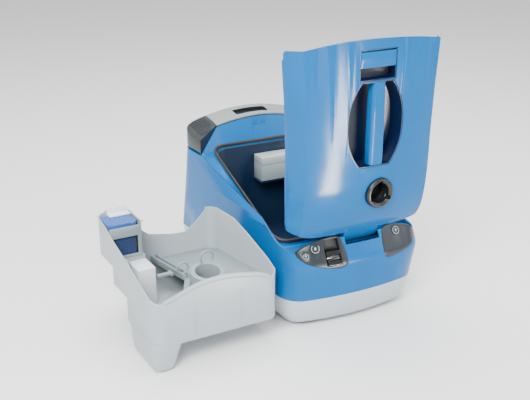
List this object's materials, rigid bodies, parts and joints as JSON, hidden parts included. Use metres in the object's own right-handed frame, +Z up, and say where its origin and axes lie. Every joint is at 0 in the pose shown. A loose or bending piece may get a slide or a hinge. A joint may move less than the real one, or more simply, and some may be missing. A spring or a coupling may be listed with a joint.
{
  "type": "wet and dry canister vacuum cleaner",
  "caption": "Canister wash-and-dry vacuum cleaner with its hood swung open and its water-filter tank lifted out beside it.",
  "frame": {"origin": "middle of the whole arrangement's bounding box, at floor level", "axes": "+X to the machine's right as its user faces the control panels' back, which is the longest extent; +Y from the control panels to the rear cap; +Z up"},
  "size_m": [0.5678, 0.5024, 0.5282],
  "materials": {
    "blue_plastic": "glossy mid-blue moulded shell",
    "navy_plastic": "satin dark blue moulding",
    "light_grey_plastic": "satin light grey moulding",
    "tank_grey_plastic": "satin light grey, fine texture",
    "cap_grey_plastic": "satin grey moulding",
    "anthracite_plastic": "satin anthracite moulding",
    "black_plastic": "black moulding with soft gloss",
    "white_plastic": "white moulding",
    "board_green": "circuit board",
    "gasket_rubber": "soft black seal",
    "soft_rubber": "black rubber",
    "foam_blue": "open-cell foam, matt",
    "foam_navy": "open-cell foam, matt",
    "filter_paper": "pleated filter paper",
    "steel": "plain steel",
    "aluminium_cast": "cast and turned"
  },
  "bodies": {
    "chassis": {"base_pan": "light_grey_plastic", "body_shell": "blue_plastic", "inner_tub": "navy_plastic", "opening_gasket": "gasket_rubber", "control_panel_left": "anthracite_plastic", "control_panel_right": "anthracite_plastic", "slider_well": "black_plastic", "hinge_saddle": "blue_plastic", "hinge_pin": "steel", "rear_cap": "cap_grey_plastic", "corner_grille_left": "anthracite_plastic", "corner_grille_right": "anthracite_plastic", "motor_housing": "black_plastic", "motor_mount": "soft_rubber", "motor_core": "steel", "suction_duct": "black_plastic", "reel_post": "steel", "spray_pump": "black_plastic", "solution_tank": "white_plastic", "control_board": "board_green", "cable_gland": "soft_rubber"},
    "hood": {"hood_shell": "blue_plastic", "hood_liner": "navy_plastic", "grip_scoop": "navy_plastic", "grip_bar": "blue_plastic", "hose_port": "black_plastic", "inlet_duct": "black_plastic", "latch_pocket": "blue_plastic", "latch_pin": "steel"},
    "latch": {"latch_flap": "blue_plastic"},
    "power_key": {"power_button": "anthracite_plastic"},
    "pump_key": {"pump_button": "anthracite_plastic"},
    "rewind_key": {"rewind_button": "anthracite_plastic"},
    "slider": {"suction_slider": "black_plastic"},
    "turbine": {"turbine_rotor": "aluminium_cast"},
    "reel": {"cord_reel": "black_plastic"},
    "cassette": {"filter_cassette": "tank_grey_plastic", "filter_pleats": "filter_paper"},
    "cassette_lid": {"filter_cover": "light_grey_plastic"},
    "tank": {"tank_shell": "tank_grey_plastic", "jet_box": "white_plastic", "foam_frame": "tank_grey_plastic", "foam_lower": "foam_navy"},
    "insert": {"splash_plate": "tank_grey_plastic", "inlet_collar": "tank_grey_plastic"},
    "lever": {"separator_lever": "tank_grey_plastic"},
    "foam_cartridge": {"foam_upper": "foam_blue", "foam_bracket": "white_plastic"},
    "bail": {"wire_bail": "steel"},
    "swivel_front_left": {"castor_fork_front_left": "anthracite_plastic"},
    "wheel_front_left": {"castor_wheel_front_left": "black_plastic"},
    "swivel_front_right": {"castor_fork_front_right": "anthracite_plastic"},
    "wheel_front_right": {"castor_wheel_front_right": "black_plastic"},
    "swivel_rear_left": {"castor_fork_rear_left": "anthracite_plastic"},
    "wheel_rear_left": {"castor_wheel_rear_left": "black_plastic"},
    "swivel_rear_right": {"castor_fork_rear_right": "anthracite_plastic"},
    "wheel_rear_right": {"castor_wheel_rear_right": "black_plastic"}
  },
  "joints": [
    {"name": "hood_hinge", "type": "hinge", "parent": "chassis", "child": "hood", "pos_m": [0.12487, -0.18923, 0.1732], "axis": [1, 0, 0], "range_deg": [-79.2, 0]},
    {"name": "latch_pull", "type": "hinge", "parent": "hood", "child": "latch", "pos_m": [0.12487, -0.23922, 0.5042], "axis": [1, 0, 0], "range_deg": [-14, 0], "stiffness_Nm_per_rad": 0.05, "springref_deg": 5.73},
    {"name": "power_press", "type": "slide", "parent": "chassis", "child": "power_key", "axis": [0.2527, 0.8451, -0.471], "range_m": [0, 0.0025], "stiffness_N_per_m": 400, "springref_m": -0.001},
    {"name": "pump_press", "type": "slide", "parent": "chassis", "child": "pump_key", "axis": [0.5143, 0.7434, -0.4277], "range_m": [0, 0.0025], "stiffness_N_per_m": 400, "springref_m": -0.001},
    {"name": "rewind_press", "type": "slide", "parent": "chassis", "child": "rewind_key", "axis": [-0.131, 0.8668, -0.4812], "range_m": [0, 0.0025], "stiffness_N_per_m": 400, "springref_m": -0.001},
    {"name": "suction_set", "type": "slide", "parent": "chassis", "child": "slider", "axis": [0, 0.486, 0.874], "range_m": [0, 0.018]},
    {"name": "turbine_spin", "type": "hinge", "parent": "chassis", "child": "turbine", "pos_m": [0.07987, 0.19437, 0.1], "axis": [0, 0, 1], "continuous": true},
    {"name": "reel_spin", "type": "hinge", "parent": "chassis", "child": "reel", "pos_m": [0.19487, 0.19437, 0.08], "axis": [0, 0, 1], "continuous": true},
    {"name": "cassette_lift", "type": "slide", "parent": "chassis", "child": "cassette", "axis": [0, 0, 1], "range_m": [0, 0.06]},
    {"name": "cassette_lid_lift", "type": "slide", "parent": "cassette", "child": "cassette_lid", "axis": [0, 0, 1], "range_m": [0, 0.03]},
    {"name": "castor_swivel_front_left", "type": "hinge", "parent": "chassis", "child": "swivel_front_left", "pos_m": [0.04087, -0.15662, 0.03], "axis": [0, 0, 1], "continuous": true},
    {"name": "castor_roll_front_left", "type": "hinge", "parent": "swivel_front_left", "child": "wheel_front_left", "pos_m": [0.04087, -0.15163, 0.012], "axis": [1, 0, 0], "continuous": true},
    {"name": "castor_swivel_front_right", "type": "hinge", "parent": "chassis", "child": "swivel_front_right", "pos_m": [0.20887, -0.15662, 0.03], "axis": [0, 0, 1], "continuous": true},
    {"name": "castor_roll_front_right", "type": "hinge", "parent": "swivel_front_right", "child": "wheel_front_right", "pos_m": [0.20887, -0.15163, 0.012], "axis": [1, 0, 0], "continuous": true},
    {"name": "castor_swivel_rear_left", "type": "hinge", "parent": "chassis", "child": "swivel_rear_left", "pos_m": [0.01287, 0.19737, 0.03], "axis": [0, 0, 1], "continuous": true},
    {"name": "castor_roll_rear_left", "type": "hinge", "parent": "swivel_rear_left", "child": "wheel_rear_left", "pos_m": [0.01287, 0.20237, 0.012], "axis": [1, 0, 0], "continuous": true},
    {"name": "castor_swivel_rear_right", "type": "hinge", "parent": "chassis", "child": "swivel_rear_right", "pos_m": [0.23687, 0.19737, 0.03], "axis": [0, 0, 1], "continuous": true},
    {"name": "castor_roll_rear_right", "type": "hinge", "parent": "swivel_rear_right", "child": "wheel_rear_right", "pos_m": [0.23687, 0.20237, 0.012], "axis": [1, 0, 0], "continuous": true},
    {"name": "tank_lift", "type": "slide", "parent": "chassis", "child": "tank", "axis": [0, 0, 1], "range_m": [0, 0.3]},
    {"name": "insert_lift", "type": "slide", "parent": "tank", "child": "insert", "axis": [0, 0, 1], "range_m": [0, 0.1]},
    {"name": "lever_lift", "type": "hinge", "parent": "insert", "child": "lever", "pos_m": [-0.1831, -0.07037, 0.104], "axis": [-0.0332, 0.9995, 0], "range_deg": [0, 40]},
    {"name": "foam_lift", "type": "slide", "parent": "tank", "child": "foam_cartridge", "axis": [0, 0, 1], "range_m": [0, 0.05]},
    {"name": "bail_lift", "type": "hinge", "parent": "tank", "child": "bail", "pos_m": [-0.21477, -0.02039, 0.194], "axis": [0.9995, 0.0332, 0], "range_deg": [0, 60]}
  ]
}
